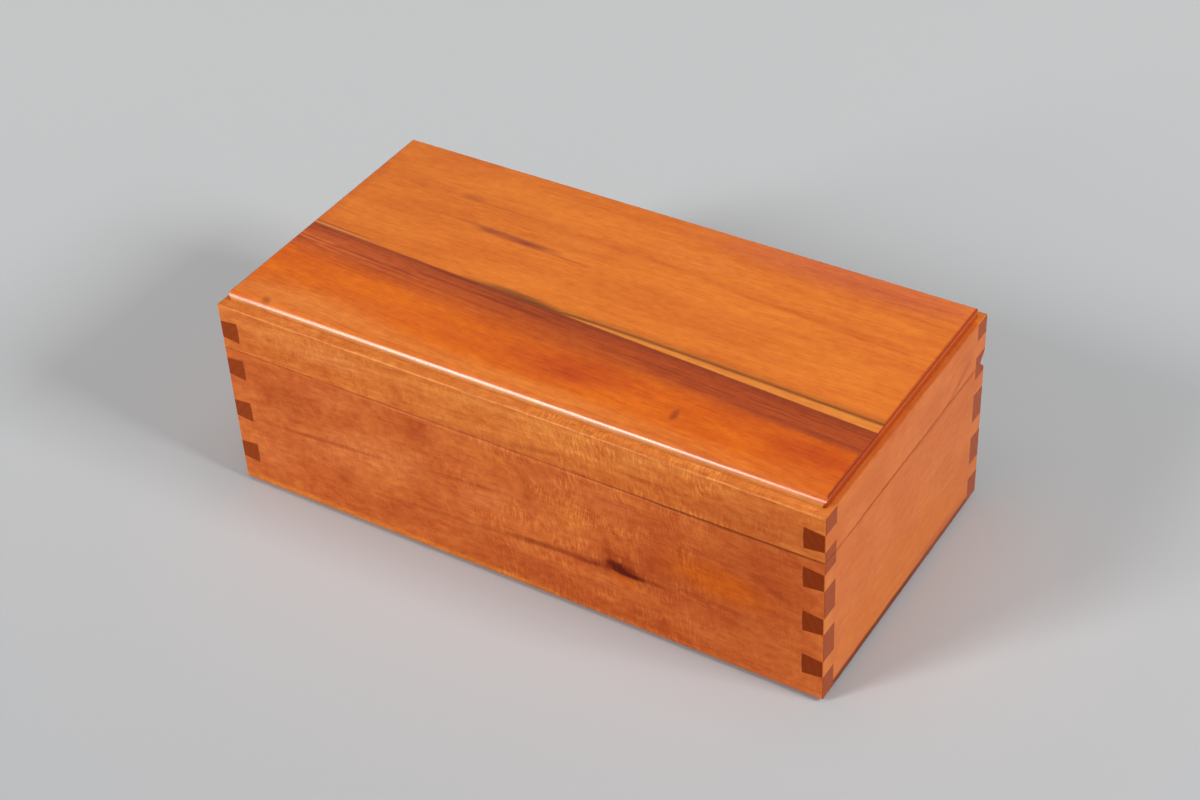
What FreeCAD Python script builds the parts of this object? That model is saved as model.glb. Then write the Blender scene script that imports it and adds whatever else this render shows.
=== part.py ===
import FreeCAD, Part
import math
import os

# Wooden gift box with through-dovetailed corners and a hinged lid, in millimetres.
# X runs along the box to the right, Y to the back and Z up.
# The origin is the middle of the footprint, on the surface that the box stands on.

# Outer box
outer_length = 250.0
outer_depth = 126.0
wall = 8.0

# Through dovetails. The front and back walls have the tails and the end walls the pins.
# Heights are those on the outer face of the end walls, where a pin is lowest and a tail highest.
bottom_tail = 12.3
tail_height = 12.7
top_tail = 7.5
pin_height = 7.2
base_pin_count = 3
dovetail_angle = 7.0

# The box was glued up closed, then sawn into base and lid through a tail.
saw_above_pin = 5.0
saw_kerf = 3.0
closing_gap = 0.3

# Edges worked after the glue-up
bottom_round = 3.2
bottom_end_round = 2.2
corner_ease = 0.7
ledge_ease = 0.6
rim_ease = 0.12

# Bottom panel, held in a groove of the four base walls
floor_thickness = 5.0
floor_lift = 4.0
floor_groove_depth = 4.0
floor_edge_room = 0.4
floor_groove_play = 0.1

# Lid panel: a tongue in a groove of the four rails, and a lip that lies on the rails
panel_rise = 3.5
front_ledge = 4.2
back_ledge = 3.0
end_ledge = 2.2
tongue_thickness = 3.0
cheek_thickness = 3.0
panel_groove_depth = 4.0
panel_edge_room = 0.4
panel_core_room = 0.3
panel_groove_play = 0.1
panel_front_round = 3.0
panel_edge_round = 1.0
panel_corner_round = 1.5

# Glue line between the panel's two boards, measured from the panel's front edge
seam_at_left = 52.4
seam_at_right = 38.8

# Barrel hinges, glued into holes in the middle of the back wall and the back rail
hinge_inset = 45.0
barrel_diameter = 5.0
barrel_length = 11.0
barrel_fit = 0.05
hole_end_room = 0.3
barrel_nose = 0.4
glue_groove_count = 3
glue_groove_width = 0.8
glue_groove_depth = 0.25
pin_diameter = 1.4
pin_setback = 0.35
pin_fit = 0.03
knuckle_wall = 0.8
knuckle_relief = 0.25
tongue_width = 1.4
tongue_side_play = 0.1

# How far a cut runs past the wood that it cuts
overrun = 5.0

# Sizes that follow from the values above
half_length = outer_length / 2
half_depth = outer_depth / 2
inner_half_length = half_length - wall
inner_half_depth = half_depth - wall
dovetail_slope = math.tan(math.radians(dovetail_angle))
rear_bevel = wall / 2

TAIL = "tail"
PIN = "pin"
base_joint = [(TAIL, bottom_tail)]
base_joint += [(PIN, pin_height), (TAIL, tail_height)] * (base_pin_count - 1)
base_joint += [(PIN, pin_height), (TAIL, saw_above_pin)]
lid_joint = [(TAIL, tail_height - saw_above_pin - saw_kerf), (PIN, pin_height), (TAIL, top_tail)]

base_top = sum(height for kind, height in base_joint)
lid_bottom = base_top + closing_gap
ledge_top = lid_bottom + sum(height for kind, height in lid_joint)
panel_top = ledge_top + panel_rise
tongue_top = ledge_top - cheek_thickness
tongue_bottom = tongue_top - tongue_thickness

panel_half_length = half_length - end_ledge
panel_front = front_ledge - half_depth
panel_back = half_depth - back_ledge

barrel_radius = barrel_diameter / 2
barrel_y = half_depth - wall / 2
hinge_x = half_length - hinge_inset
hinge_y = barrel_y + pin_setback
hinge_z = base_top + closing_gap / 2
knuckle_radius = pin_diameter / 2 + knuckle_wall
knuckle_clear = knuckle_radius + knuckle_relief
ear_reach = math.sqrt(barrel_radius ** 2 - knuckle_radius ** 2)

X_AXIS = FreeCAD.Vector(1, 0, 0)
Y_AXIS = FreeCAD.Vector(0, 1, 0)
Z_AXIS = FreeCAD.Vector(0, 0, 1)
ORIGIN = FreeCAD.Vector(0, 0, 0)
FULL_TURN = 360
UP = 1
DOWN = -1


def both_ways(reach):
    """Span of the same reach to each side of the middle."""
    return (-reach, reach)


def block(x, y, z):
    """Box between the low and high values of each axis."""
    corner = FreeCAD.Vector(x[0], y[0], z[0])
    return Part.makeBox(x[1] - x[0], y[1] - y[0], z[1] - z[0], corner)


def four_corners(shape):
    """The shape and its mirror images about the box's two middle planes."""
    pair = [shape, shape.mirror(ORIGIN, X_AXIS)]
    return pair + [each.mirror(ORIGIN, Y_AXIS) for each in pair]


def rounded(radius):
    return ("round", radius)


def bevelled(width):
    return ("bevel", width)


SHARP = bevelled(0)


def trimmed_face(a, b, trims, a_axis, b_axis):
    """Rectangle of spans a and b, with each corner rounded, bevelled or left sharp.

    The trims start at the corner where both spans are low and go on along a.
    """
    corners = [(a[0], b[0]), (a[1], b[0]), (a[1], b[1]), (a[0], b[1])]
    corners = [a_axis * along + b_axis * across for along, across in corners]
    leaving = [a_axis, b_axis, -a_axis, -b_axis]
    edges = []
    starts = []
    ends = []
    for number, (kind, size) in enumerate(trims):
        start = corners[number] - leaving[number - 1] * size
        end = corners[number] + leaving[number] * size
        if size > 0 and kind == "round":
            centre = start + leaving[number] * size
            middle = centre + (corners[number] - centre) / math.sqrt(2)
            edges.append(Part.Arc(start, middle, end).toShape())
        elif size > 0:
            edges.append(Part.makeLine(start, end))
        starts.append(start)
        ends.append(end)
    for number, start in enumerate(starts):
        edges.append(Part.makeLine(ends[number - 1], start))
    return Part.Face(Part.Wire(Part.__sortEdges__(edges)))


def eased_block(x, y, z, length_trims, depth_trims, upright_trim):
    """Block with its edges worked: as seen from the front, from the end and from above."""
    front = trimmed_face(x, z, length_trims, X_AXIS, Z_AXIS)
    front.translate(Y_AXIS * y[0])
    end = trimmed_face(y, z, depth_trims, Y_AXIS, Z_AXIS)
    end.translate(X_AXIS * x[0])
    plan = trimmed_face(x, y, [upright_trim] * 4, X_AXIS, Y_AXIS)
    plan.translate(Z_AXIS * z[0])
    shape = front.extrude(Y_AXIS * (y[1] - y[0]))
    shape = shape.common(end.extrude(X_AXIS * (x[1] - x[0])))
    return shape.common(plan.extrude(Z_AXIS * (z[1] - z[0])))


def base_envelope():
    """Outer form of the base: rounded underneath, bevelled along the back of its rim."""
    foot = rounded(bottom_round)
    end_foot = rounded(bottom_end_round)
    rim = bevelled(rim_ease)
    return eased_block(
        both_ways(half_length), both_ways(half_depth), (0, base_top),
        [end_foot, end_foot, rim, rim],
        [foot, foot, bevelled(rear_bevel), rim],
        rounded(corner_ease))


def lid_envelope():
    """Outer form of the lid's frame: eased along its ledge, bevelled along the back of its rim."""
    ledge = rounded(ledge_ease)
    rim = bevelled(rim_ease)
    return eased_block(
        both_ways(half_length), both_ways(half_depth), (lid_bottom, ledge_top),
        [rim, rim, ledge, ledge],
        [rim, bevelled(rear_bevel), ledge, ledge],
        rounded(corner_ease))


def inner_rim_cut(rim, way):
    """Flared cut that eases the inner edge of a rim. The way points into the wood."""
    prisms = []
    for half, axis, along in ((inner_half_length, X_AXIS, Y_AXIS), (inner_half_depth, Y_AXIS, X_AXIS)):
        wide = half + rim_ease + overrun
        outside = rim - way * overrun
        inside = rim + way * rim_ease
        outline = [(-wide, outside), (wide, outside), (half, inside), (-half, inside), (-wide, outside)]
        points = [axis * reach + Z_AXIS * height - along * half_length for reach, height in outline]
        prisms.append(Part.Face(Part.makePolygon(points)).extrude(along * outer_length))
    return prisms[0].common(prisms[1])


def corner_prism(low, high, low_slope, high_slope):
    """A pin or tail at the right back corner, from its heights on the end wall's outer face."""
    outer = half_length + overrun
    outline = [
        (inner_half_length, low + low_slope * wall),
        (outer, low - low_slope * overrun),
        (outer, high - high_slope * overrun),
        (inner_half_length, high + high_slope * wall)]
    points = [FreeCAD.Vector(x, inner_half_depth, z) for x, z in outline + outline[:1]]
    return Part.Face(Part.makePolygon(points)).extrude(Y_AXIS * (wall + overrun))


def joint_prisms(wanted, joint, bottom):
    """All pins or all tails of the four corners. Pins widen inwards and tails narrow to match."""
    slope = dovetail_slope if wanted == PIN else -dovetail_slope
    prisms = []
    low = bottom
    for number, (kind, height) in enumerate(joint):
        if kind == wanted:
            low_slope = -slope if number > 0 else 0
            high_slope = slope if number < len(joint) - 1 else 0
            prisms += four_corners(corner_prism(low, low + height, low_slope, high_slope))
        low += height
    return prisms


def dovetail_wall(kind, side, joint, bottom, envelope, cuts):
    """One wall or rail: a plate with its tails or pins, worked to the outer form and cut inside."""
    z = (bottom, bottom + sum(height for each_kind, height in joint))
    if kind == TAIL:
        x = both_ways(half_length)
        y = sorted((side * inner_half_depth, side * half_depth))
        notches = joint_prisms(PIN, joint, bottom)
    else:
        x = sorted((side * inner_half_length, side * half_length))
        y = both_ways(half_depth)
        notches = joint_prisms(TAIL, joint, bottom)
    return block(x, y, z).cut(notches).common(envelope).cut(cuts)


def four_walls(joint, bottom, envelope, cuts):
    """Front, back, left and right wall of the base or the lid."""
    sides = {"front": (TAIL, -1), "back": (TAIL, 1), "left": (PIN, -1), "right": (PIN, 1)}
    return {
        name: dovetail_wall(kind, side, joint, bottom, envelope, cuts)
        for name, (kind, side) in sides.items()}


def panel_block(reach, z):
    """Slab that reaches past the walls' inner faces all round."""
    return block(both_ways(inner_half_length + reach), both_ways(inner_half_depth + reach), z)


def floor_groove():
    z = (floor_lift, floor_lift + floor_thickness + floor_groove_play)
    return panel_block(floor_groove_depth, z)


def floor_panel():
    """Bottom panel, lying on the lower face of its groove."""
    z = (floor_lift, floor_lift + floor_thickness)
    return panel_block(floor_groove_depth - floor_edge_room, z)


def lid_groove():
    z = (tongue_bottom - panel_groove_play, tongue_top + panel_groove_play)
    return panel_block(panel_groove_depth, z)


def lid_panel():
    """Raised panel before it is parted at its glue line: core, tongue and overlapping lip."""
    edge = rounded(panel_edge_round)
    board = eased_block(
        both_ways(panel_half_length), (panel_front, panel_back), (tongue_bottom, panel_top),
        [SHARP, SHARP, edge, edge],
        [SHARP, SHARP, edge, rounded(panel_front_round)],
        rounded(panel_corner_round))
    core = panel_block(-panel_core_room, (tongue_bottom, panel_top))
    tongue = panel_block(panel_groove_depth - panel_edge_room, (tongue_bottom, tongue_top))
    lip = block(both_ways(half_length), both_ways(half_depth), (ledge_top, panel_top))
    return board.common(core.fuse([tongue, lip]))


def seam_y(x):
    """Place of the glue line between the panel's boards, which runs at a slight slant."""
    share = (x + panel_half_length) / (2 * panel_half_length)
    return panel_front + seam_at_left + (seam_at_right - seam_at_left) * share


def front_of_seam():
    """Everything in front of the glue line."""
    reach = half_length + overrun
    front = -half_depth - overrun
    low = tongue_bottom - overrun
    outline = [(-reach, front), (reach, front), (reach, seam_y(reach)), (-reach, seam_y(-reach))]
    points = [FreeCAD.Vector(x, y, low) for x, y in outline + outline[:1]]
    return Part.Face(Part.makePolygon(points)).extrude(Z_AXIS * (panel_top + overrun - low))


def barrel_blank(x, rim, way):
    """Turned barrel with glue grooves, from the rim into the wood."""
    pitch = (barrel_length - knuckle_clear - barrel_nose) / (glue_groove_count + 1)
    outline = [(0, 0), (barrel_radius, 0)]
    for number in range(glue_groove_count):
        near = knuckle_clear + pitch * (number + 1) - glue_groove_width / 2
        far = near + glue_groove_width
        bottom = barrel_radius - glue_groove_depth
        outline += [(barrel_radius, near), (bottom, near), (bottom, far), (barrel_radius, far)]
    outline += [(barrel_radius, barrel_length - barrel_nose), (barrel_radius - barrel_nose, barrel_length)]
    outline += [(0, barrel_length), (0, 0)]
    points = [FreeCAD.Vector(x + radius, barrel_y, rim + way * depth) for radius, depth in outline]
    return Part.Face(Part.makePolygon(points)).revolve(FreeCAD.Vector(x, barrel_y, 0), Z_AXIS, FULL_TURN)


def barrel_hole(x, rim, way):
    """Blind hole for a barrel, drilled from the rim."""
    mouth = FreeCAD.Vector(x, barrel_y, rim - way * overrun)
    depth = overrun + barrel_length + hole_end_room
    return Part.makeCylinder(barrel_radius + barrel_fit, depth, mouth, Z_AXIS * way)


def knuckle(x, half_width, way):
    """Plate round the pivot pin, whose shank runs into the barrel."""
    place = FreeCAD.Vector(x - half_width, hinge_y, hinge_z)
    front = place - Y_AXIS * knuckle_radius
    back = place + Y_AXIS * knuckle_radius
    tip = place - Z_AXIS * (way * knuckle_radius)
    shank = Z_AXIS * (way * barrel_length / 2)
    edges = [
        Part.Arc(front, tip, back).toShape(),
        Part.makeLine(back, back + shank),
        Part.makeLine(back + shank, front + shank),
        Part.makeLine(front + shank, front)]
    plate = Part.Face(Part.Wire(edges)).extrude(X_AXIS * (2 * half_width))
    foot = FreeCAD.Vector(x, barrel_y, hinge_z - barrel_length)
    return plate.common(Part.makeCylinder(barrel_radius, 2 * barrel_length, foot))


def pin_rod(x, radius, reach):
    """Round rod on the hinge line."""
    start = FreeCAD.Vector(x - reach, hinge_y, hinge_z)
    return Part.makeCylinder(radius, 2 * reach, start, X_AXIS)


def pin_hole(x):
    return pin_rod(x, pin_diameter / 2 + pin_fit, barrel_diameter)


def across_barrel():
    """Span in Y that passes right through a barrel."""
    return (barrel_y - barrel_diameter, barrel_y + barrel_diameter)


def base_barrel(x, envelope):
    """Lower half of a hinge: a barrel with two ears and a slot between them."""
    slot_half = tongue_width / 2 + tongue_side_play
    z = (hinge_z - knuckle_clear, lid_bottom + overrun)
    slot = block((x - slot_half, x + slot_half), across_barrel(), z)
    shape = barrel_blank(x, base_top, DOWN).common(envelope)
    return shape.fuse(knuckle(x, ear_reach, DOWN)).cut([slot, pin_hole(x)])


def lid_barrel(x, envelope):
    """Upper half of a hinge: a barrel cut away at both sides to a tongue between the ears."""
    tongue_half = tongue_width / 2
    z = (base_top - overrun, hinge_z + knuckle_clear)
    reliefs = [
        block((x - barrel_diameter, x - tongue_half), across_barrel(), z),
        block((x + tongue_half, x + barrel_diameter), across_barrel(), z)]
    shape = barrel_blank(x, lid_bottom, UP).common(envelope).cut(reliefs)
    return shape.fuse(knuckle(x, tongue_half, UP)).cut(pin_hole(x))


def make_pieces():
    """Every piece of the box by name."""
    base_form = base_envelope()
    lid_form = lid_envelope()
    hinges = {"left": -hinge_x, "right": hinge_x}
    walls = four_walls(base_joint, 0, base_form, [floor_groove(), inner_rim_cut(base_top, DOWN)])
    rails = four_walls(lid_joint, lid_bottom, lid_form, [lid_groove(), inner_rim_cut(lid_bottom, UP)])
    walls["back"] = walls["back"].cut([barrel_hole(x, base_top, DOWN) for x in hinges.values()])
    rails["back"] = rails["back"].cut([barrel_hole(x, lid_bottom, UP) for x in hinges.values()])
    pieces = {"base_" + name + "_wall": shape for name, shape in walls.items()}
    pieces["base_floor_panel"] = floor_panel()
    pieces.update({"lid_" + name + "_rail": shape for name, shape in rails.items()})
    panel = lid_panel()
    pieces["lid_front_board"] = panel.common(front_of_seam())
    pieces["lid_rear_board"] = panel.cut(front_of_seam())
    for name, x in hinges.items():
        pieces[name + "_hinge_base_barrel"] = base_barrel(x, base_form)
        pieces[name + "_hinge_lid_barrel"] = lid_barrel(x, lid_form)
        pieces[name + "_hinge_pin"] = pin_rod(x, pin_diameter / 2, ear_reach)
    return pieces


os.makedirs("parts", exist_ok=True)
for piece_name, piece in make_pieces().items():
    piece.removeSplitter().exportStep("parts/" + piece_name + ".step")
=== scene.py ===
import math

import bpy
from mathutils import Matrix, Vector


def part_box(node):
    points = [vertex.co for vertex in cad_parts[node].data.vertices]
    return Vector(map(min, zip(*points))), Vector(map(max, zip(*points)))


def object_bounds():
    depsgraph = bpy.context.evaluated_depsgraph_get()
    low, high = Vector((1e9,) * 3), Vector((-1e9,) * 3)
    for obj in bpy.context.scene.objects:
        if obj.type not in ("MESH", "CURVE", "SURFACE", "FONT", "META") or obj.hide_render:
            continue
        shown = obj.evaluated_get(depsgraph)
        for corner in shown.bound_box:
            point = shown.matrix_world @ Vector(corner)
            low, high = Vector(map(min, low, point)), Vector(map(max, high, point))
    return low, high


# Wooden gift box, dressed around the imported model.
# Places are in metres, and the materials' patterns are in millimetres.
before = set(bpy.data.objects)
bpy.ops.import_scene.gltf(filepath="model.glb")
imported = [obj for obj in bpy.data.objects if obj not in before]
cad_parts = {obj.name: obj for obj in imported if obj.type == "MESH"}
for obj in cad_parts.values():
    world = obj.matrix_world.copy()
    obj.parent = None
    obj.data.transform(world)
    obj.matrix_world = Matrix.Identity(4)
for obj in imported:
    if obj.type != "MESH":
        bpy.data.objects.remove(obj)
cad_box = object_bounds()

# Millimetres in a metre
MM = 1000.0

# Camera, fitted to the box's corners and joints in the photograph
CAMERA_PLACE = (0.37186, -0.56327, 0.57509)
CAMERA_AZIMUTH = 33.48
CAMERA_ELEVATION = 38.31
CAMERA_ROLL = -3.26
CAMERA_LENS_MM = 69.25
CAMERA_SENSOR_MM = 36.0

# Softboxes, aimed at the box. Azimuth 0 is in front of it and 90 to its right.
# A lamp's power in watts is its radiance times pi and its area.
LIGHT_TARGET = (0.0, 0.0, 0.04)
SOFTBOXES = {
    "key_softbox": dict(azimuth=-29, elevation=33, distance=2.2, width=0.5, height=0.45, radiance=29.3),
    "strip_softbox": dict(azimuth=-34, elevation=17, distance=2.2, width=0.4, height=0.7, radiance=15.6),
    "right_softbox": dict(azimuth=89, elevation=34, distance=1.6, width=0.5, height=0.38, radiance=30.0),
    "top_softbox": dict(
        azimuth=0, elevation=87, distance=1.8, width=1.4, height=1.4, radiance=1.4, mirrored=False),
}
AMBIENT = 0.105

# Backdrop: pale near the floor, darker overhead. Heights are sines of the angle above the floor.
BACKDROP_LOW = (202, 203, 204)
BACKDROP_HIGH = (112, 113, 114)
BACKDROP_FADE = (0.0, 0.42)

# Floor: its tone on the camera's side and far behind the box, painted light that is darker near the camera,
# and how far from the box it changes
FLOOR_NEAR = (176, 178, 180)
FLOOR_FAR = (236, 237, 237)
FLOOR_FADE = (-0.4, 0.95)
FLOOR_ROUGHNESS = 0.7
FLOOR_GLOSS = 0.2
FLOOR_REACH = 6.0
FLOOR_DROP = 0.0002


def direction(azimuth, elevation):
    """Unit vector from the box towards a place seen at these angles."""
    turn = math.radians(azimuth)
    rise = math.radians(elevation)
    return Vector((math.sin(turn) * math.cos(rise), -math.cos(turn) * math.cos(rise), math.sin(rise)))


def linear(channel):
    """One sRGB channel, 0 to 255, as linear light."""
    share = channel / 255.0
    return share / 12.92 if share <= 0.04045 else ((share + 0.055) / 1.055) ** 2.4


def tone(red, green, blue):
    """A colour given in sRGB, as a shader's linear colour."""
    return (linear(red), linear(green), linear(blue), 1.0)


def add_camera():
    """Camera at the photograph's view."""
    toward = direction(CAMERA_AZIMUTH, CAMERA_ELEVATION)
    level = direction(CAMERA_AZIMUTH + 90.0, 0.0)
    right = Matrix.Rotation(math.radians(CAMERA_ROLL), 3, toward) @ level
    turn = Matrix((right, toward.cross(right), toward)).transposed()
    data = bpy.data.cameras.new("camera")
    data.sensor_width = CAMERA_SENSOR_MM
    data.lens = CAMERA_LENS_MM
    camera = bpy.data.objects.new("camera", data)
    camera.matrix_world = Matrix.Translation(CAMERA_PLACE) @ turn.to_4x4()
    bpy.context.collection.objects.link(camera)
    bpy.context.scene.camera = camera


def add_softbox(name, azimuth, elevation, distance, width, height, radiance, mirrored=True):
    """Rectangular lamp that faces the box. One that isn't mirrored leaves no highlight."""
    toward = direction(azimuth, elevation)
    data = bpy.data.lights.new(name, "AREA")
    data.shape = "RECTANGLE"
    data.size = width
    data.size_y = height
    data.energy = radiance * math.pi * width * height
    lamp = bpy.data.objects.new(name, data)
    lamp.visible_glossy = mirrored
    lamp.location = Vector(LIGHT_TARGET) + toward * distance
    lamp.rotation_euler = toward.to_track_quat("Z", "Y").to_euler()
    bpy.context.collection.objects.link(lamp)


# Most of a noise's values lie in this range, about its middle.
NOISE_RANGE = (0.3, 0.7)
NOISE_MIDDLE = 0.5


class Graph:
    """A node tree, built with short calls. A value is a number, a colour or another node's output."""

    def __init__(self, owner):
        self.owner = owner
        owner.use_nodes = True
        self.tree = owner.node_tree
        self.tree.nodes.clear()

    def node(self, kind, inputs=None, **settings):
        """A new node, with other nodes' outputs linked to its inputs and plain values set on them."""
        made = self.tree.nodes.new(kind)
        for key, value in settings.items():
            setattr(made, key, value)
        for key, value in (inputs or {}).items():
            if isinstance(value, bpy.types.NodeSocket):
                self.tree.links.new(value, made.inputs[key])
            else:
                made.inputs[key].default_value = value
        return made

    def maths(self, operation, *values):
        return self.node("ShaderNodeMath", dict(enumerate(values)), operation=operation).outputs[0]

    def vector(self, operation, *values):
        made = self.node("ShaderNodeVectorMath", dict(enumerate(values)), operation=operation)
        return made.outputs["Value" if operation in ("LENGTH", "DOT_PRODUCT") else "Vector"]

    def mix(self, factor, low, high, way="MIX"):
        """Two colours mixed. A Mix node takes them at inputs 6 and 7 and gives the result at output 2."""
        made = self.node("ShaderNodeMix", {0: factor, 6: low, 7: high}, data_type="RGBA", blend_type=way)
        return made.outputs[2]

    def remap(self, value, low, high, to_low=0.0, to_high=1.0, way="SMOOTHSTEP"):
        """The value moved from one range to another, and held at both ends."""
        inputs = {0: value, 1: low, 2: high, 3: to_low, 4: to_high}
        return self.node("ShaderNodeMapRange", inputs, interpolation_type=way).outputs[0]

    def noise(self, place, grain, detail=3.0, roughness=0.5):
        """Noise whose blotches measure about the given millimetres along each axis."""
        scaled = self.vector("DIVIDE", place, grain)
        inputs = {"Vector": scaled, "Scale": 1.0, "Detail": detail, "Roughness": roughness}
        return self.node("ShaderNodeTexNoise", inputs).outputs[0]

    def sway(self, value, noise, reach):
        """The value moved to either side by a noise."""
        return self.maths("MULTIPLY_ADD", self.maths("SUBTRACT", noise, NOISE_MIDDLE), reach, value)

    def millimetres(self):
        """The place on the piece, in millimetres."""
        source = self.node("ShaderNodeTexCoord").outputs["Object"]
        return self.node("ShaderNodeVectorMath", {0: source, "Scale": MM}, operation="SCALE").outputs[0]

    def split(self, vector):
        return self.node("ShaderNodeSeparateXYZ", {0: vector}).outputs

    def join(self, x, y, z):
        return self.node("ShaderNodeCombineXYZ", {0: x, 1: y, 2: z}).outputs[0]

    def surface(self, inputs):
        """Ends a material with one shader."""
        shader = self.node("ShaderNodeBsdfPrincipled", inputs)
        self.node("ShaderNodeOutputMaterial", {"Surface": shader.outputs[0]})
        return self.owner


# How far the grain wanders and its lines shake, the size of the noise behind that, and where a bow is flat
WANDER_MM = 5.0
WANDER_GRAIN = (70.0, 26.0, 26.0)
JITTER_MM = 1.4
JITTER_GRAIN = (13.0, 5.0, 5.0)
BOW_MIDDLE_MM = 55.0


class Grain:
    """Coordinates of one board in its material: along the grain, across its face and through it."""

    def __init__(self, graph, axes, seed, slope, bow):
        sides = graph.split(graph.millimetres())
        self.along, self.across, self.through = (sides[axis] for axis in axes)
        real = graph.join(self.along, self.across, self.through)
        self.place = graph.vector("ADD", real, seed)
        self.wander = graph.noise(self.place, WANDER_GRAIN, detail=2.0)
        drift = graph.sway(0.0, self.wander, WANDER_MM)
        off_middle = graph.maths("SUBTRACT", self.along, BOW_MIDDLE_MM)
        bend = graph.maths("MULTIPLY", graph.maths("POWER", off_middle, 2.0), bow)
        bend = graph.maths("SUBTRACT", bend, graph.maths("MULTIPLY", self.along, slope))
        bend = graph.maths("ADD", bend, drift)
        self.warped = graph.vector("ADD", self.place, graph.join(0.0, bend, drift))
        jitter = graph.noise(self.place, JITTER_GRAIN, detail=4.0)
        self.flat = graph.join(self.along, graph.sway(self.across, jitter, JITTER_MM), 0.0)
        normal = graph.node("ShaderNodeTexCoord").outputs["Normal"]
        self.facing = graph.split(normal)[axes[0]]


# Share of its reach from which a patch fades, where it states none
PATCH_CORE = 0.1


def add_patches(graph, grain, colour, patches):
    """Spots and streaks: middle, reach along and across, tone, strength, slant in degrees and core share."""
    for along, across, reach, width, shade, strength, slant, *core in patches:
        inputs = {
            "Vector": grain.flat,
            "Location": (along, across, 0.0),
            "Rotation": (0.0, 0.0, math.radians(slant)),
            "Scale": (reach, width, 1.0)}
        seen = graph.node("ShaderNodeMapping", inputs, vector_type="TEXTURE").outputs[0]
        full = core[0] if core else PATCH_CORE
        cover = graph.remap(graph.vector("LENGTH", seen), 1.0, full, 0.0, strength)
        colour = graph.mix(cover, colour, tone(*shade))
    return colour


# End grain: the rings' middle across and through the board, their wave in radians a millimetre, and the pores
RING_MIDDLE = (-18.0, -34.0, 0.0)
RING_WAVE = 2.1
RING_BEND_MM = 6.0
RING_STRENGTH = 0.22
END_PORE_GRAIN = (2.0, 0.4, 0.4)
END_PORE_RANGE = (0.5, 0.72)
END_PORE_STRENGTH = 0.4


def end_grain(graph, grain, shade, dark):
    """Growth rings and pores of a cut end."""
    middle = graph.vector("SUBTRACT", graph.join(grain.across, grain.through, 0.0), RING_MIDDLE)
    bent = graph.maths("MULTIPLY_ADD", grain.wander, RING_BEND_MM, graph.vector("LENGTH", middle))
    rings = graph.maths("SINE", graph.maths("MULTIPLY", bent, RING_WAVE))
    colour = graph.mix(graph.remap(rings, -1.0, 1.0, 0.0, RING_STRENGTH), tone(*shade), tone(*dark))
    pores = graph.noise(grain.place, END_PORE_GRAIN, detail=2.0)
    return graph.mix(graph.remap(pores, *END_PORE_RANGE, 0.0, END_PORE_STRENGTH), colour, tone(*dark))


# Fiddleback: its strokes and the dark between them, the blotches that they come in, and their strength
# outside the span
STROKE_GRAIN = (0.8, 4.0, 4.0)
STROKE_LEAN = 0.1
STROKE_SWAY_MM = 8.0
STROKE_RANGE = (0.36, 0.7)
STROKE_DARK = -0.35
BLOTCH_GRAIN = (16.0, 9.0, 9.0)
BLOTCH_RANGE = (0.4, 0.66)
BLOTCH_FAINT = 0.15
SPAN_FAINT = (0.35, 0.3)


def fiddleback(graph, grain, strength, span):
    """Short pale strokes across the grain, in blotches, strongest in a span that fades at its ends."""
    start, full, fade, end = span
    before, after = SPAN_FAINT
    swayed = graph.sway(grain.along, grain.wander, STROKE_SWAY_MM)
    leaning = graph.maths("MULTIPLY_ADD", grain.across, STROKE_LEAN, swayed)
    strokes = graph.noise(graph.join(leaning, grain.across, grain.through), STROKE_GRAIN, detail=3.0)
    blotches = graph.noise(grain.place, BLOTCH_GRAIN, detail=2.0)
    amount = graph.remap(blotches, *BLOTCH_RANGE, BLOTCH_FAINT, 1.0)
    amount = graph.maths("MULTIPLY", amount, graph.remap(grain.along, start, full, before, 1.0))
    amount = graph.maths("MULTIPLY", amount, graph.remap(grain.along, end, fade, after, 1.0))
    stroke = graph.remap(strokes, *STROKE_RANGE, STROKE_DARK * strength, strength)
    return graph.maths("MULTIPLY", amount, stroke)


# Sizes of the timber's marks, along the grain, across and through, and the noise that makes a cloud or a pore
CLOUD_RANGE = (0.36, 0.64)
STREAK_MM = 120.0
SPOT_GRAIN = (4.6, 3.0, 3.0)
FIBRE_GRAIN = (12.0, 0.5, 0.5)
PORE_GRAIN = (3.4, 0.34, 0.34)
PORE_RANGE = (0.64, 0.76)

# Powers of a shade's green and blue, so that darker timber is redder
DARK_HUE = (2.0, 2.2)

# Cut ends are smoother than the faces.
END_POLISH = -0.16

# Painted shade on eased edges: how far an edge has turned towards the board's end, from its start on the face
# and to the end itself
EDGE_START = (0.12, 0.4)
EDGE_STOP = (0.98, 0.8)

# Relief of fibres and pores, in metres
WOOD_BUMP = dict(Strength=0.12, Distance=0.00006)
FIBRE_RELIEF = 0.5


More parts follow.
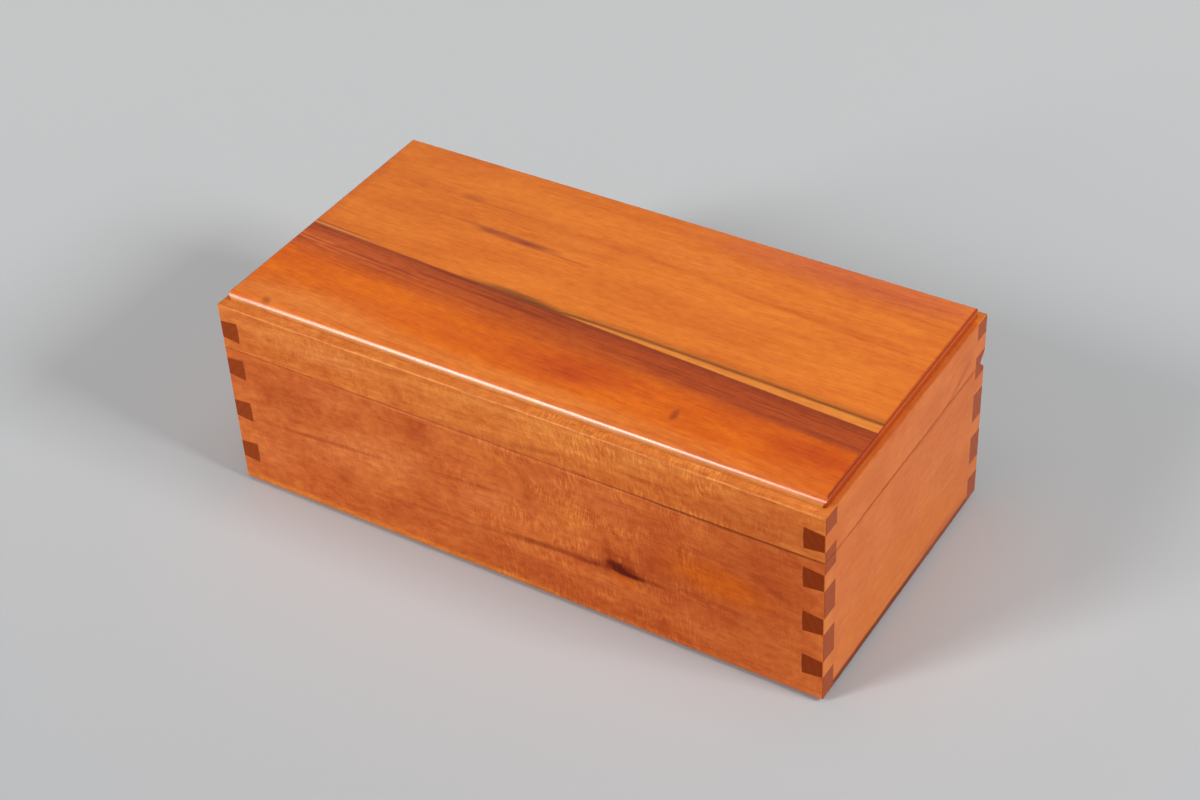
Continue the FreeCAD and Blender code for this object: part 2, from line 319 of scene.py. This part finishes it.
def wood(name, axes, pale, deep, end, end_dark, seed, end_span=(0.6, 0.9), edge=0.0, slope=0.0, bow=0.0,
         cloud=(46.0, 13.0), streak=0.055, streak_width=2.2, mottle=0.075, fibre=0.045, pore=0.16,
         gloss=0.5, rough=(0.29, 0.35), ripple=0.0, ripple_span=None, patches=(), extra=None):
    """Lacquered timber: clouds, streaks, fibres, mottle and pores, with its own end grain."""
    graph = Graph(bpy.data.materials.new(name))
    grain = Grain(graph, axes, seed, slope, bow)
    clouds = graph.noise(grain.warped, (*cloud, cloud[1]), detail=4.0, roughness=0.55)
    streaks = graph.noise(grain.warped, (STREAK_MM, streak_width, streak_width), detail=5.0, roughness=0.6)
    spots = graph.noise(grain.place, SPOT_GRAIN, detail=6.0, roughness=0.68)
    fibres = graph.noise(grain.warped, FIBRE_GRAIN, detail=3.0)
    pores = graph.remap(graph.noise(grain.warped, PORE_GRAIN, detail=1.0), *PORE_RANGE)

    colour = graph.mix(graph.remap(clouds, *CLOUD_RANGE), tone(*pale), tone(*deep))
    colour = add_patches(graph, grain, colour, patches)
    if extra:
        colour = extra(graph, grain, colour)
    lightness = graph.remap(streaks, *NOISE_RANGE, 1.0 - streak, 1.0 + streak)
    for marks, strength in ((fibres, fibre), (spots, mottle)):
        lightness = graph.maths("ADD", lightness, graph.remap(marks, *NOISE_RANGE, -strength, strength))
    lightness = graph.maths("SUBTRACT", lightness, graph.maths("MULTIPLY", pores, pore))
    if ripple:
        lightness = graph.maths("ADD", lightness, fiddleback(graph, grain, ripple, ripple_span))
    shade = graph.join(lightness, *(graph.maths("POWER", lightness, depth) for depth in DARK_HUE))
    colour = graph.mix(1.0, colour, shade, way="MULTIPLY")

    tilt = graph.maths("ABSOLUTE", grain.facing)
    end_share = graph.remap(tilt, *end_span)
    colour = graph.mix(end_share, colour, end_grain(graph, grain, end, end_dark))
    # Painted shade: eased edges are mixed towards the end's dark tone
    if edge:
        edge_shade = graph.remap(tilt, *EDGE_START)
        edge_shade = graph.maths("MULTIPLY", edge_shade, graph.remap(tilt, *EDGE_STOP, 0.0, edge))
        colour = graph.mix(edge_shade, colour, tone(*end_dark))

    roughness = graph.remap(streaks, *NOISE_RANGE, *rough)
    roughness = graph.maths("MULTIPLY_ADD", end_share, END_POLISH, roughness)
    height = graph.maths("SUBTRACT", graph.maths("MULTIPLY", fibres, FIBRE_RELIEF), pores)
    bump = graph.node("ShaderNodeBump", {**WOOD_BUMP, "Height": height})
    return graph.surface({
        "Base Color": colour, "Roughness": roughness, "Specular IOR Level": gloss, "Normal": bump.outputs[0]})


# Where the lid panel's glue line runs, from the boards' own boxes
SEAM_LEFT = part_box("lid_front_board")[1][1] * MM
SEAM_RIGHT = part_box("lid_rear_board")[0][1] * MM
PANEL_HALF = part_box("lid_rear_board")[1][0] * MM
SEAM_MIDDLE = (SEAM_LEFT + SEAM_RIGHT) / 2
SEAM_SLOPE = (SEAM_RIGHT - SEAM_LEFT) / (2 * PANEL_HALF)


def from_seam(graph, grain):
    """Millimetres behind the glue line."""
    seam = graph.maths("MULTIPLY_ADD", grain.along, SEAM_SLOPE, SEAM_MIDDLE)
    return graph.maths("SUBTRACT", grain.across, seam)


# Heartwood: how far in front of the glue line it fades out and where it is full, at the left and right ends
HEART_FADE_MM = (22.0, 14.6)
HEART_FULL_MM = (7.5, 12.0)
HEART_SWAY_MM = 4.0
HEART_SWAY_GRAIN = (46.0, 5.0, 5.0)

# Its border is softer about this place, by this much on each side
SOFT_MIDDLE_MM = -10.0
SOFT_SPAN_MM = (75.0, 30.0)
SOFT_FADE_MM = 7.0
SOFT_FULL_MM = -6.5

# Its tones, with dark and bright lines along it and a shade at the glue line
HEART_RIGHT = (173, 70, 20)
HEART_LEFT = (193, 84, 31)
HEART_DARK = (138, 52, 14)
HEART_BRIGHT = (216, 112, 54)
HEART_SHADE = (124, 50, 20)
LINE_GRAIN = (80.0, 0.9, 0.9)
DARK_LINES = (0.52, 0.32)
DARK_STRENGTH = 0.75
BRIGHT_LINES = (0.53, 0.66)
BRIGHT_FADE_MM = (4.0, 9.0)
SHADE_FADE_MM = (4.5, 0.0)
SHADE_STRENGTH = 0.5


def heartwood(graph, grain, colour):
    """Brown heartwood in front of the glue line, fading out on the left and sharp on the right."""
    depth = graph.maths("MULTIPLY", from_seam(graph, grain), -1.0)
    off_middle = graph.maths("ABSOLUTE", graph.maths("SUBTRACT", grain.along, SOFT_MIDDLE_MM))
    soft = graph.remap(off_middle, *SOFT_SPAN_MM)
    border = []
    for ends, softer in ((HEART_FADE_MM, SOFT_FADE_MM), (HEART_FULL_MM, SOFT_FULL_MM)):
        level = graph.remap(grain.along, -PANEL_HALF, PANEL_HALF, *ends, way="LINEAR")
        border.append(graph.maths("MULTIPLY_ADD", soft, softer, level))
    wave = graph.noise(grain.place, HEART_SWAY_GRAIN, detail=3.0)
    cover = graph.remap(graph.sway(depth, wave, HEART_SWAY_MM), *border)

    left = graph.remap(grain.along, 0.0, -PANEL_HALF)
    lines = graph.noise(grain.warped, LINE_GRAIN, detail=3.0)
    heart = graph.mix(left, tone(*HEART_RIGHT), tone(*HEART_LEFT))
    heart = graph.mix(graph.remap(lines, *DARK_LINES, 0.0, DARK_STRENGTH), heart, tone(*HEART_DARK))
    bright = graph.maths("MULTIPLY", graph.remap(lines, *BRIGHT_LINES), graph.remap(depth, *BRIGHT_FADE_MM))
    heart = graph.mix(graph.maths("MULTIPLY", bright, left), heart, tone(*HEART_BRIGHT))
    heart = graph.mix(graph.remap(depth, *SHADE_FADE_MM, 0.0, SHADE_STRENGTH), heart, tone(*HEART_SHADE))
    return graph.mix(cover, colour, heart)


# Golden edge: a dark line leaves the glue line here and swings away from it, to this far at the right end
GOLD_START_MM = -8.0
GOLD_WIDTH_MM = 4.7
GOLD_CURVE = 0.48
CORNER_RIM_MM = 1.6
CORNER_SPAN_MM = (-88.0, -104.0)

# Its layers: tone, what is measured, how that fades, strength, and the fade along the board
GOLD_LAYERS = [
    # Olive shade behind the line, golden strip in front of it, and the line
    ((146, 80, 24), "behind_line", (4.5, 0.0), 0.5, (-60.0, -20.0)),
    ((224, 130, 48), "behind_line", (0.2, -0.4), 1.0, (-14.0, 0.0)),
    ((112, 56, 18), "off_line", (1.3, 0.1), 0.7, (-64.0, -40.0)),
    # Pale left corner and its rim
    ((216, 122, 62), "behind_seam", (1.5, 0.9), 1.0, CORNER_SPAN_MM),
    ((130, 62, 20), "off_rim", (0.6, 0.1), 0.6, CORNER_SPAN_MM),
]


def golden_edge(graph, grain, colour):
    """Golden strip behind the glue line, widening to the right, under a dark line with an olive shade."""
    behind_seam = from_seam(graph, grain)
    share = graph.remap(grain.along, GOLD_START_MM, PANEL_HALF, way="LINEAR")
    line = graph.maths("MULTIPLY", graph.maths("POWER", share, GOLD_CURVE), GOLD_WIDTH_MM)
    behind_line = graph.maths("SUBTRACT", behind_seam, line)
    measures = {
        "behind_seam": behind_seam,
        "behind_line": behind_line,
        "off_line": graph.maths("ABSOLUTE", behind_line),
        "off_rim": graph.maths("ABSOLUTE", graph.maths("SUBTRACT", behind_seam, CORNER_RIM_MM))}
    for shade, measure, fade, strength, span in GOLD_LAYERS:
        cover = graph.remap(measures[measure], *fade, 0.0, strength)
        cover = graph.maths("MULTIPLY", cover, graph.remap(grain.along, *span))
        colour = graph.mix(cover, colour, tone(*shade))
    return colour


# Brush marks on metal: how dark, how much rougher and how deep they are
MARK_DARKNESS = 0.82
MARK_ROUGHNESS = 0.12
MARK_BUMP = dict(Strength=0.1, Distance=0.00002)


def metal(name, shade, brushed, roughness):
    """Worked metal with fine brush marks round it."""
    graph = Graph(bpy.data.materials.new(name))
    marks = graph.noise(graph.millimetres(), brushed, detail=3.0)
    dark = [MARK_DARKNESS * channel for channel in shade]
    colour = graph.mix(graph.remap(marks, *NOISE_RANGE), tone(*shade), tone(*dark))
    rough = graph.remap(marks, *NOISE_RANGE, roughness, roughness + MARK_ROUGHNESS)
    bump = graph.node("ShaderNodeBump", {**MARK_BUMP, "Height": marks})
    return graph.surface({
        "Base Color": colour, "Metallic": 1.0, "Roughness": rough, "Normal": bump.outputs[0]})


# End grain of the tails, which shows on the box's ends, and of the pins, which shows on its front and back
TAIL_END = dict(end=(167, 76, 33), end_dark=(137, 55, 20))
PIN_END = dict(end=(138, 52, 8), end_dark=(112, 36, 2))
LEFT_PIN_END = dict(end=(152, 64, 16), end_dark=(124, 44, 8))

# Where each board is cut from the noise, so that no two are alike
FRONT_SEED = (300.0, 40.0, 10.0)
BACK_SEED = (-520.0, 160.0, 70.0)
LEFT_SEED = (90.0, -330.0, 25.0)
RIGHT_SEED = (-140.0, 420.0, 55.0)

# Tones that several patches have
RED_BROWN = (172, 70, 26)
DEEP_LINE = (148, 58, 22)
GOLD = (212, 116, 46)
ORANGE = (200, 90, 18)
KNOT = (92, 22, 0)
# Painted shade in the closing gap between base and lid
GAP_SHADE = (104, 28, 2)
GLUE = (84, 34, 14)

# Joint lines at the inner ends of the pins on the front face: their place, from a wall's own box, and the
# heights of the pins' middles
PIN_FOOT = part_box("base_right_wall")[0][0] * MM
BASE_PINS = (16, 36, 56)
LID_PINS = (73,)
PIN_HALF_HEIGHT = 5.0
LINE_HALF_WIDTH = 0.4
LINE_STRENGTH = 0.75


def joint_lines(levels):
    return [
        (side * PIN_FOOT, level, LINE_HALF_WIDTH, PIN_HALF_HEIGHT, GLUE, LINE_STRENGTH, 0)
        for side in (-1, 1) for level in levels]


# Patches on the pieces' faces. The numbers are those that add_patches names, in the part's millimetres.
BASE_FRONT_PATCHES = [
    # Broad clouds
    (-98, 49, 20, 15, RED_BROWN, 0.38, 0),
    (-106, 50, 7, 6, RED_BROWN, 0.5, 10),
    (-38, 57, 10, 10, RED_BROWN, 0.55, 0),
    (-75, 22, 8, 8, RED_BROWN, 0.55, 0),
    (8.5, 47, 5, 18, RED_BROWN, 0.45, 2),
    (12, 12, 46, 8, RED_BROWN, 0.5, 0),
    (98, 51, 24, 8, RED_BROWN, 0.6, -6),
    (60, 34, 14, 10, RED_BROWN, 0.75, 0),
    (84, 34, 66, 40, RED_BROWN, 0.5, 0),
    (-58, 31, 16, 9, GOLD, 0.6, 0),
    (25, 42, 10, 10, GOLD, 0.5, 0),
    (-5, 56, 13, 5, GOLD, 0.5, 0),
    (84, 38, 32, 12, ORANGE, 0.85, -6),
    (88, 38, 18, 8, ORANGE, 0.6, -6),
    (78, 11, 16, 6, (204, 100, 48), 0.35, 0),
    (-60, 38, 36, 14, (222, 124, 64), 0.75, 0),
    (-10, 37, 17, 9, (220, 122, 62), 0.65, 0),
    (-108, 19, 15, 14, (218, 118, 60), 0.6, 0),
    (-78, 57, 28, 8, (212, 112, 56), 0.45, 0),
    (32, 56, 34, 8, (208, 108, 54), 0.45, 0),
    (-8, 17, 26, 6, RED_BROWN, 0.35, 0),
    (-12, 6, 36, 4, RED_BROWN, 0.35, 0),
    (40, 25.5, 30, 5, (156, 58, 22), 0.6, 0),
    (-80, 28, 35, 9, (212, 112, 56), 0.45, 0),
    (-50, 14, 40, 8, RED_BROWN, 0.35, 0),
    (45, 6, 80, 6, RED_BROWN, 0.55, 0),
    (106, 60, 28, 8, RED_BROWN, 0.45, 0),
    (58, 12, 14, 8, RED_BROWN, 0.45, 0),
    # Dark lines along the grain
    (-82, 35.4, 48, 1.5, (156, 60, 22), 0.5, 3.9),
    (-20, 41.2, 34, 1.6, DEEP_LINE, 0.35, 4.6),
    (13, 24.7, 36, 2.2, DEEP_LINE, 0.75, 3.6),
    (-32, 20.8, 40, 1.6, DEEP_LINE, 0.35, 4.0),
    (106, 44, 13, 3.6, (160, 62, 24), 0.55, -25),
    (82, 28, 40, 1.6, DEEP_LINE, 0.3, -3),
    (62, 26.4, 12, 1.3, DEEP_LINE, 0.4, -2),
    # Shades round the knot, then the knot
    (47, 22.4, 10, 3.4, (204, 94, 26), 0.8, -2),
    (45, 31, 13, 8, RED_BROWN, 0.75, -10),
    (40.5, 36, 2.6, 9, RED_BROWN, 0.5, 8),
    (49, 34, 3, 7, RED_BROWN, 0.45, -4),
    (33.5, 25.3, 12, 1.6, (142, 46, 12), 0.7, 5),
    (57, 25.9, 10, 1.3, (146, 50, 16), 0.65, -1),
    (47, 26.8, 16, 3.4, (140, 48, 14), 0.6, -2),
    (46, 27.6, 11, 4.2, (128, 40, 8), 0.8, -6, 0.15),
    (45.3, 31.6, 1.3, 2.4, (216, 124, 60), 0.5, 4),
    (42.6, 28.3, 4.0, 2.9, (100, 26, 0), 0.93, -15, 0.3),
    (45, 27.2, 4.6, 2.1, KNOT, 0.92, -12, 0.35),
    (48, 26.0, 9.6, 1.5, KNOT, 0.97, -2, 0.4),
    (45.8, 28.8, 0.9, 1.9, (84, 30, 6), 0.7, 5, 0.2),
    (41.3, 31.2, 0.9, 2.8, (124, 36, 6), 0.5, 8),
    (50.6, 28.6, 1.8, 3.4, (130, 42, 14), 0.6, 0),
    # Bottom edge with a painted reflection of the floor, closing line with painted shade in its gap and a
    # painted highlight on the arris under it, and joints
    # Pale band painted as the floor's reflection on the bottom rounding
    (-60, 3.2, 110, 2.0, (228, 134, 46), 0.55, 0, 0.5),
    (70, 2.6, 80, 1.4, (206, 104, 36), 0.35, 0, 0.4),
    # Painted shade in the closing gap
    (90, 64.3, 70, 0.7, GAP_SHADE, 0.55, 0, 0.3),
    # Painted highlight on the base's arris under the gap
    (-10, 63.6, 110, 0.45, (226, 132, 72), 0.6, 0, 0.3),
    *joint_lines(BASE_PINS),
]
LID_FRONT_PATCHES = [
    # Shades and dark lines
    (-46, 69, 4, 8, RED_BROWN, 0.4, 0),
    (0, 64, 80, 7, RED_BROWN, 0.35, 1),
    (95, 70, 60, 9, RED_BROWN, 0.4, 0),
    (12, 68.6, 25, 1.6, DEEP_LINE, 0.4, 8.5),
    (60, 72.4, 40, 1.6, DEEP_LINE, 0.2, 0),
    (-98, 75, 8, 0.9, DEEP_LINE, 0.4, 4),
    # Golden clouds
    (-60, 81, 70, 5, GOLD, 0.6, 0),
    (-10, 80, 75, 6, (226, 134, 62), 0.6, 0),
    (-82, 77, 42, 8, (226, 134, 68), 0.5, 0),
    (-69, 77, 11, 7, (228, 136, 70), 0.5, 0),
    (50, 80, 15, 5, (224, 132, 64), 0.5, 0),
    (106, 74, 26, 12, (194, 93, 40), 0.7, 0),
    # Top edge with a painted highlight on its arris, closing line with painted shade in its gap, and joints
    (0, 84.2, 300, 1.0, (200, 112, 50), 0.85, 0, 0.4),
    # Painted highlight on the ledge's arris
    (0, 83.6, 300, 0.35, (230, 148, 84), 0.6, 0, 0.3),
    # Painted shade in the closing gap
    (90, 64.7, 70, 0.5, GAP_SHADE, 0.5, 0, 0.3),
    *joint_lines(LID_PINS),
]
BASE_BACK_PATCHES = [
    (-40, 46, 90, 1.6, DEEP_LINE, 0.4, -1.6),
    (30, 38, 80, 1.4, DEEP_LINE, 0.35, -1.2),
    (-60, 22, 70, 1.8, DEEP_LINE, 0.35, -2.2),
    (55, 16, 60, 1.6, DEEP_LINE, 0.4, -1.0),
    (70, 50, 50, 6, RED_BROWN, 0.4, -1.5),
    (-85, 34, 45, 7, GOLD, 0.4, -1.5),
    (15, 12, 70, 6, RED_BROWN, 0.35, -1.0),
]
BASE_RIGHT_PATCHES = [
    (0, 14, 80, 26, (216, 118, 44), 0.7, 0),
    (-60, 36, 6, 44, (226, 138, 66), 0.5, 0),
    # Painted shade along the bottom, where the rounding and the floor under it lie in shade
    (0, 1.4, 140, 4.0, (122, 44, 16), 0.95, 0, 0.6),
    (20, 54, 70, 14, (206, 107, 52), 0.45, 0),
    (34, 5.5, 44, 4, (190, 94, 46), 0.6, 0),
    # Painted shade in the closing gap, and a darker band just under it
    (0, 63.9, 140, 0.8, (160, 64, 24), 0.6, 0, 0.3),
    (26, 63.2, 44, 2.2, (188, 88, 40), 0.5, 1),
]
LID_RIGHT_PATCHES = [
    (38, 67, 18, 2.2, (182, 84, 44), 0.65, 20),
    (46, 71, 9, 3.0, (190, 90, 52), 0.5, 24),
    (0, 84.2, 140, 0.8, (192, 96, 44), 0.6, 0, 0.4),
]
REAR_BOARD_PATCHES = [
    # Salmon band along the back, and the left end
    (76, 55, 90, 13, (208, 101, 54), 0.85, 0, 0.2),
    (88, 52.5, 42, 1.2, (188, 84, 44), 0.45, -0.5),
    (100, 48, 26, 1.3, (188, 84, 44), 0.5, -1),
    (110, 43.4, 30, 0.9, (190, 84, 40), 0.5, -1),
    (-95, 56, 42, 8, (212, 102, 38), 0.5, 0),
    (-122, 20, 6, 60, (204, 96, 34), 0.5, 0),
    # Dark streaks left of the middle
    (-77, 35, 8, 3.4, (178, 90, 36), 0.6, -2),
    (-62, 34.2, 26, 0.9, (192, 94, 34), 0.5, -1),
    (-46, 19, 25, 3.2, (168, 72, 40), 0.65, -1, 0.3),
    (-59, 19.4, 7, 2.0, (150, 58, 34), 0.6, -1),
    (-58, 20.4, 32, 1.3, (160, 74, 36), 0.5, -1.5),
    (-41, 18.6, 11, 1.8, (140, 52, 32), 0.55, -1),
    (-22, 17, 18, 1.0, (176, 84, 38), 0.5, -2),
    # Soft lines and pale clouds
    (0, 31.5, 74, 2.6, (212, 102, 34), 0.4, -2.4),
    (82, 43.8, 46, 1.5, (206, 100, 40), 0.4, -0.6),
    (76, 27, 56, 3.2, (210, 98, 28), 0.5, -3.2),
    (70, 26.3, 52, 1.4, (202, 90, 22), 0.4, -3),
    (22, 39, 36, 9, (236, 132, 48), 0.6, 0),
    (-25, 28, 22, 6, (230, 126, 44), 0.5, 0),
    (-98, 36, 18, 4, (208, 98, 34), 0.4, 0),
    (95, 24, 32, 0.9, (198, 86, 20), 0.5, -1),
    (90, 6, 50, 14, (230, 126, 36), 0.5, 0),
    # Right edge, and the stain where the golden strip starts
    (122.1, 20, 0.9, 70, (186, 76, 10), 0.8, 0, 0.4),
    (-26, -10.4, 26, 2.6, (120, 64, 20), 0.75, -2.9),
    (-17, -11.9, 14, 1.5, (88, 46, 14), 0.7, -2.9),
]
FRONT_BOARD_PATCHES = [
    # Red and pale clouds
    (13, -39, 30, 10, (190, 64, 0), 0.9, 0),
    (0, -40, 60, 10, (206, 86, 14), 0.6, 0),
    (2, -28, 56, 4.5, (200, 84, 14), 0.45, 0),
    (108, -40, 34, 11, (192, 70, 2), 0.85, 0),
    (-60, -40, 40, 4, (222, 106, 24), 0.5, 0),
    (-92, -44, 46, 6, (232, 122, 36), 0.55, 0),
    (0, -55, 150, 8, (234, 135, 54), 0.65, 0),
    # Front rounding: painted shade where it starts above the highlight, a paler tone that is partly painted
    # sheen below the highlight, and the clouds beside it
    # Painted shade where the rounding starts, just above its highlight
    (0, -56.9, 300, 1.6, (200, 98, 28), 0.6, 0, 0.5),
    # Paler tone on the rounding's lower part, partly painted sheen under the highlight
    (0, -59.3, 300, 1.3, (200, 128, 58), 0.9, 0, 0.6),
    (-92, -51, 64, 9, (234, 136, 60), 0.65, 0),
    (15, -41.5, 9, 3.5, (184, 60, 0), 0.6, 0),
    (76, -33, 32, 5.5, (192, 76, 8), 0.75, 0),
    (110, -51, 24, 6, (204, 94, 28), 0.6, 0),
    # Right edge and small marks
    (122.1, -38, 0.9, 30, (180, 70, 8), 0.8, 0, 0.4),
    (57.8, -43.3, 2.0, 5.2, (150, 58, 12), 0.75, 4, 0.2),
    (75, -41, 0.5, 1.2, (150, 58, 16), 0.6, 0),
    (-106.8, -55.8, 3.4, 2.4, (150, 64, 20), 0.65, -40, 0.2),
]

# Timber that several pieces have
FRONT = dict(axes="XZY", seed=FRONT_SEED, bow=0.0003, **TAIL_END)
BACK = dict(axes="XZY", seed=BACK_SEED, slope=0.03, **TAIL_END)
LEFT = dict(axes="YZX", seed=LEFT_SEED, **LEFT_PIN_END)
RIGHT = dict(axes="YZX", seed=RIGHT_SEED, **PIN_END)
WALL_RED = dict(
    pale=(208, 107, 48), deep=(198, 95, 40), cloud=(13.0, 15.0), streak=0.032, mottle=0.1, fibre=0.055,
    gloss=0.06)
RAIL_GOLD = dict(
    pale=(218, 122, 54), deep=(208, 108, 44), cloud=(28.0, 8.0), streak=0.05, mottle=0.1, gloss=0.06)
END_SALMON = dict(
    pale=(218, 120, 60), deep=(210, 110, 52), cloud=(22.0, 14.0), streak=0.02, mottle=0.045, pore=0.04,
    gloss=0.06)
LONG_GRAIN = dict(
    cloud=(70.0, 8.0), streak=0.07, mottle=0.05, ripple=0.08, ripple_span=(-40.0, 20.0, 60.0, 110.0))
# Boards: edge is the strength of the painted shade on their eased edges
BOARD = dict(axes="XYZ", end_span=(0.1, 0.5), edge=0.75, streak_width=4.0, gloss=0.8, rough=(0.25, 0.31))

WOODS = {
    "base_front_wall": dict(
        **FRONT, **WALL_RED, ripple=0.25, ripple_span=(-30.0, 15.0, 62.0, 92.0), patches=BASE_FRONT_PATCHES),
    "base_back_wall": dict(**BACK, **{**WALL_RED, **LONG_GRAIN}, patches=BASE_BACK_PATCHES),
    "base_left_wall": dict(**LEFT, **END_SALMON),
    "base_right_wall": dict(**RIGHT, **END_SALMON, patches=BASE_RIGHT_PATCHES),
    "base_floor_panel": dict(
        axes="XYZ", seed=(40.0, 80.0, 210.0), pale=(220, 142, 78), deep=(206, 122, 60),
        end=(176, 100, 50), end_dark=(150, 78, 36), gloss=0.2),
    "lid_front_rail": dict(
        **FRONT, **RAIL_GOLD, ripple=0.25, ripple_span=(-5.0, 25.0, 80.0, 110.0), patches=LID_FRONT_PATCHES),
    "lid_back_rail": dict(**BACK, **{**RAIL_GOLD, **LONG_GRAIN}),
    "lid_left_rail": dict(**LEFT, **END_SALMON),
    "lid_right_rail": dict(**RIGHT, **END_SALMON, patches=LID_RIGHT_PATCHES),
    "lid_front_board": dict(
        **BOARD, seed=(220.0, -60.0, 30.0), slope=SEAM_SLOPE, pale=(226, 107, 5), deep=(216, 95, 0),
        end=(176, 62, 2), end_dark=(148, 46, 0), streak=0.05, mottle=0.06, fibre=0.075,
        patches=FRONT_BOARD_PATCHES, extra=heartwood),
    "lid_rear_board": dict(
        **BOARD, seed=(-90.0, 130.0, 80.0), pale=(230, 123, 37), deep=(221, 113, 32),
        end=(188, 74, 4), end_dark=(160, 56, 0), streak=0.035, mottle=0.045, fibre=0.06,
        patches=REAR_BOARD_PATCHES, extra=golden_edge),
}
METALS = {
    "barrel": dict(shade=(214, 176, 104), brushed=(0.3, 0.3, 0.05), roughness=0.28),
    "pin": dict(shade=(196, 197, 200), brushed=(0.05, 0.3, 0.3), roughness=0.25),
}


def dress():
    """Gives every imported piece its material."""
    metals = {kind: metal("hinge_" + kind, **values) for kind, values in METALS.items()}
    for name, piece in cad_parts.items():
        if name in WOODS:
            material = wood(name + "_wood", **WOODS[name])
        else:
            material = metals["pin" if name.endswith("pin") else "barrel"]
        for slot in piece.material_slots:
            slot.material = material


def add_floor():
    """Wide plain floor just under the box."""
    graph = Graph(bpy.data.materials.new("floor_paint"))
    source = graph.node("ShaderNodeTexCoord").outputs["Object"]
    # Painted light: the floor darker on the camera's side and lighter far behind the box
    away = direction(CAMERA_AZIMUTH, 0.0) * -1.0
    share = graph.remap(graph.vector("DOT_PRODUCT", source, away), *FLOOR_FADE)
    shade = graph.mix(share, tone(*FLOOR_NEAR), tone(*FLOOR_FAR))
    material = graph.surface({
        "Base Color": shade, "Roughness": FLOOR_ROUGHNESS, "Specular IOR Level": FLOOR_GLOSS})
    level = cad_box[0][2] - FLOOR_DROP
    corners = [(-1, -1), (1, -1), (1, 1), (-1, 1)]
    mesh = bpy.data.meshes.new("floor")
    mesh.from_pydata([(x * FLOOR_REACH, y * FLOOR_REACH, level) for x, y in corners], [], [(0, 1, 2, 3)])
    mesh.materials.append(material)
    floor = bpy.data.objects.new("floor", mesh)
    bpy.context.collection.objects.link(floor)


def add_world():
    """Even light from all round, and a pale backdrop where the camera looks past the floor."""
    world = bpy.data.worlds.new("studio")
    bpy.context.scene.world = world
    graph = Graph(world)
    light = graph.node("ShaderNodeBackground", {"Color": (1.0, 1.0, 1.0, 1.0), "Strength": AMBIENT})
    height = graph.split(graph.node("ShaderNodeTexCoord").outputs["Generated"])["Z"]
    backdrop = graph.mix(graph.remap(height, *BACKDROP_FADE), tone(*BACKDROP_LOW), tone(*BACKDROP_HIGH))
    seen = graph.node("ShaderNodeBackground", {"Color": backdrop})
    rays = graph.node("ShaderNodeLightPath").outputs
    shown = rays["Is Camera Ray"]
    for ray in ("Is Glossy Ray", "Is Transmission Ray"):
        shown = graph.maths("MAXIMUM", shown, rays[ray])
    chosen = graph.node("ShaderNodeMixShader", {0: shown, 1: light.outputs[0], 2: seen.outputs[0]})
    graph.node("ShaderNodeOutputWorld", {"Surface": chosen.outputs[0]})


bpy.context.scene.view_settings.view_transform = "Standard"
add_camera()
for softbox_name, softbox in SOFTBOXES.items():
    add_softbox(softbox_name, **softbox)
add_world()
add_floor()
dress()
